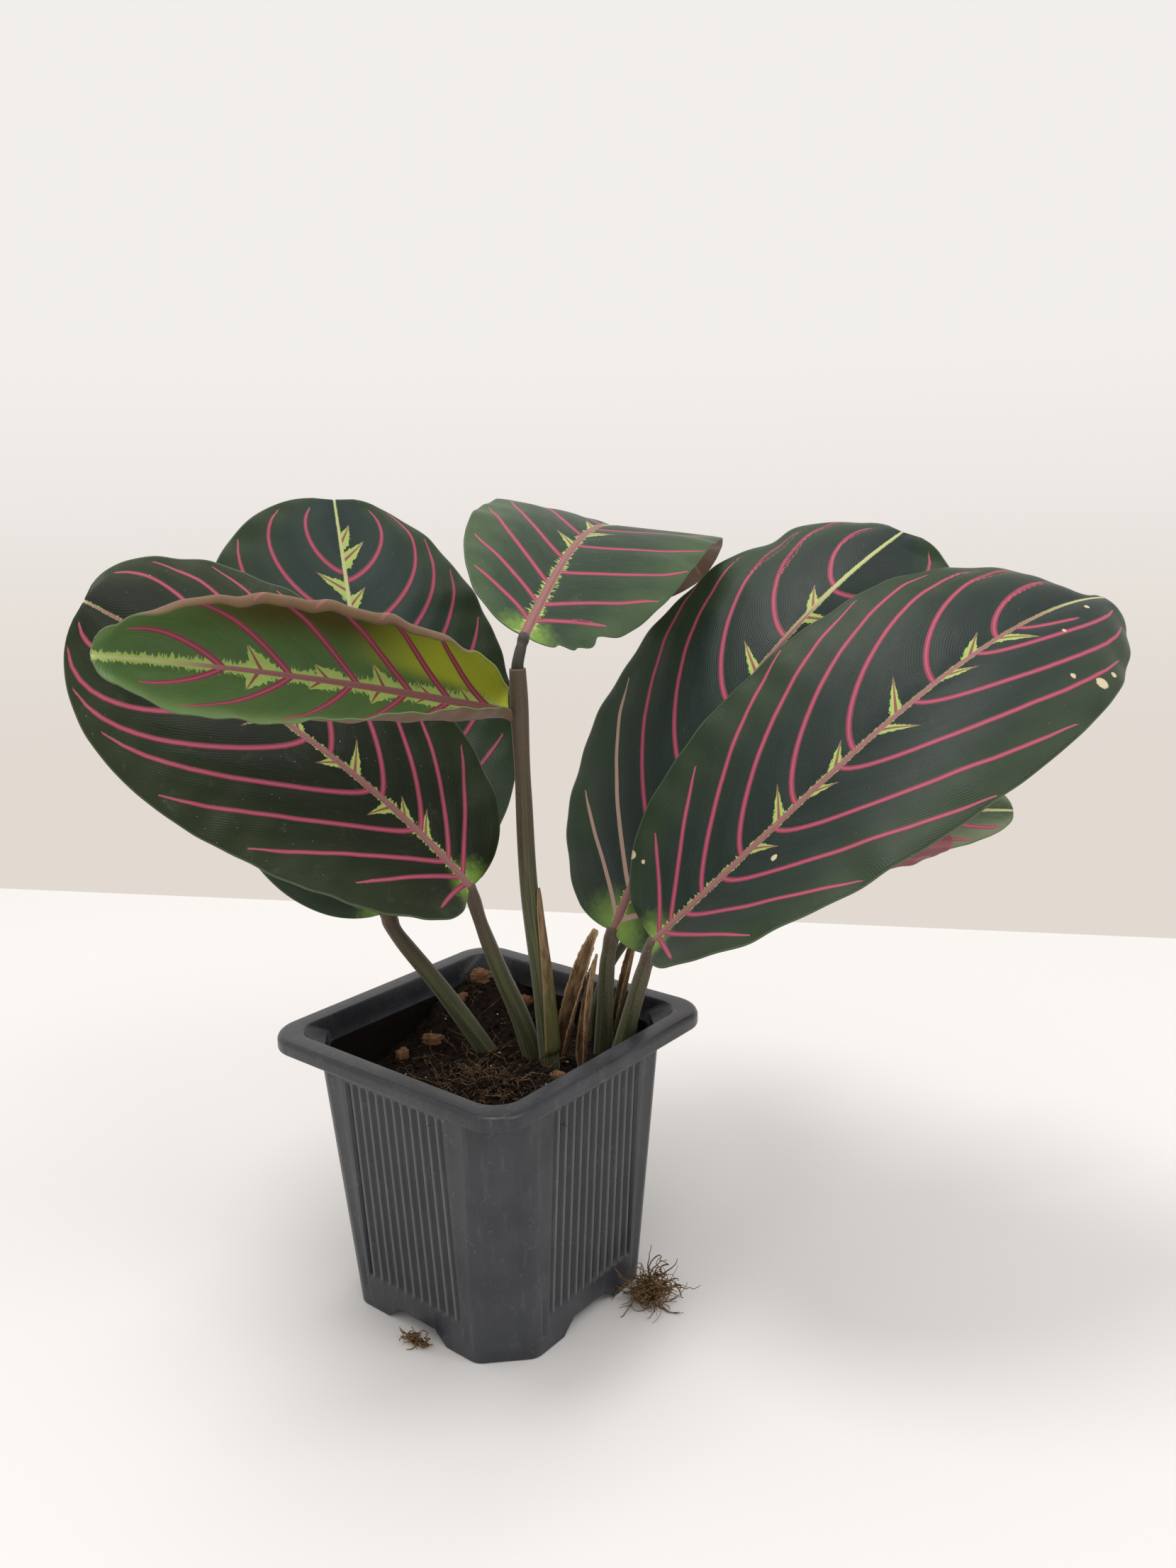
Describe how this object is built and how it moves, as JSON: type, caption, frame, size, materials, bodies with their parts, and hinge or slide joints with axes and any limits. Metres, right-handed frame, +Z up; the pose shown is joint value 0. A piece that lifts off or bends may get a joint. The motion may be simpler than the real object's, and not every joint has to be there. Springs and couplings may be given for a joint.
{
  "type": "potted prayer plant",
  "caption": "Prayer plant with broad dark leaves and pink veins on short stems, growing from soil in a square black plastic nursery pot with arched feet.",
  "frame": {"origin": "middle of the whole plant's bounding box, at the bottom of the pot's feet, on the surface it stands on", "axes": "+Z up along the pot's height; the pot's sides are parallel to X and Y"},
  "size_m": [0.2308, 0.2656, 0.2241],
  "materials": {
    "pot_plastic": "black recycled plastic, satin, with a little pale dust",
    "soil": "dark fibrous potting compost",
    "leaf": "velvety dark green leaf with crimson-pink veins and a lime midrib edge",
    "young_leaf": "light green young leaf with a lime herringbone and pink veins",
    "stem": "striped green and brown stem with fine hairs",
    "dry_sheath": "dry brown papery sheath",
    "bark": "orange-brown bark chip",
    "root": "tan fibrous roots"
  },
  "bodies": {
    "root": {"bark_chip_1": "bark", "bark_chip_2": "bark", "bark_chip_3": "bark", "bark_chip_4": "bark", "bark_chip_5": "bark", "bark_chip_6": "bark", "bark_chip_7": "bark", "bark_chip_8": "bark", "brown_sheath_right": "dry_sheath", "central_shoot": "stem", "dry_sheath_middle": "dry_sheath", "dry_sheath_near_shoot": "dry_sheath", "leaf_left": "leaf", "leaf_rear_left": "leaf", "leaf_right_front": "leaf", "leaf_right_rear": "leaf", "leaf_small_high": "leaf", "leaf_small_low": "leaf", "leaf_top": "leaf", "leaf_young": "young_leaf", "petiole_left": "stem", "petiole_rear_left": "stem", "petiole_right_front": "stem", "petiole_right_rear": "stem", "petiole_small_high": "stem", "petiole_small_low": "stem", "petiole_top": "stem", "pot": "pot_plastic", "root_tuft_left": "root", "root_tuft_right": "root", "shoot_sheath": "dry_sheath", "soil": "soil"}
  },
  "joints": []
}
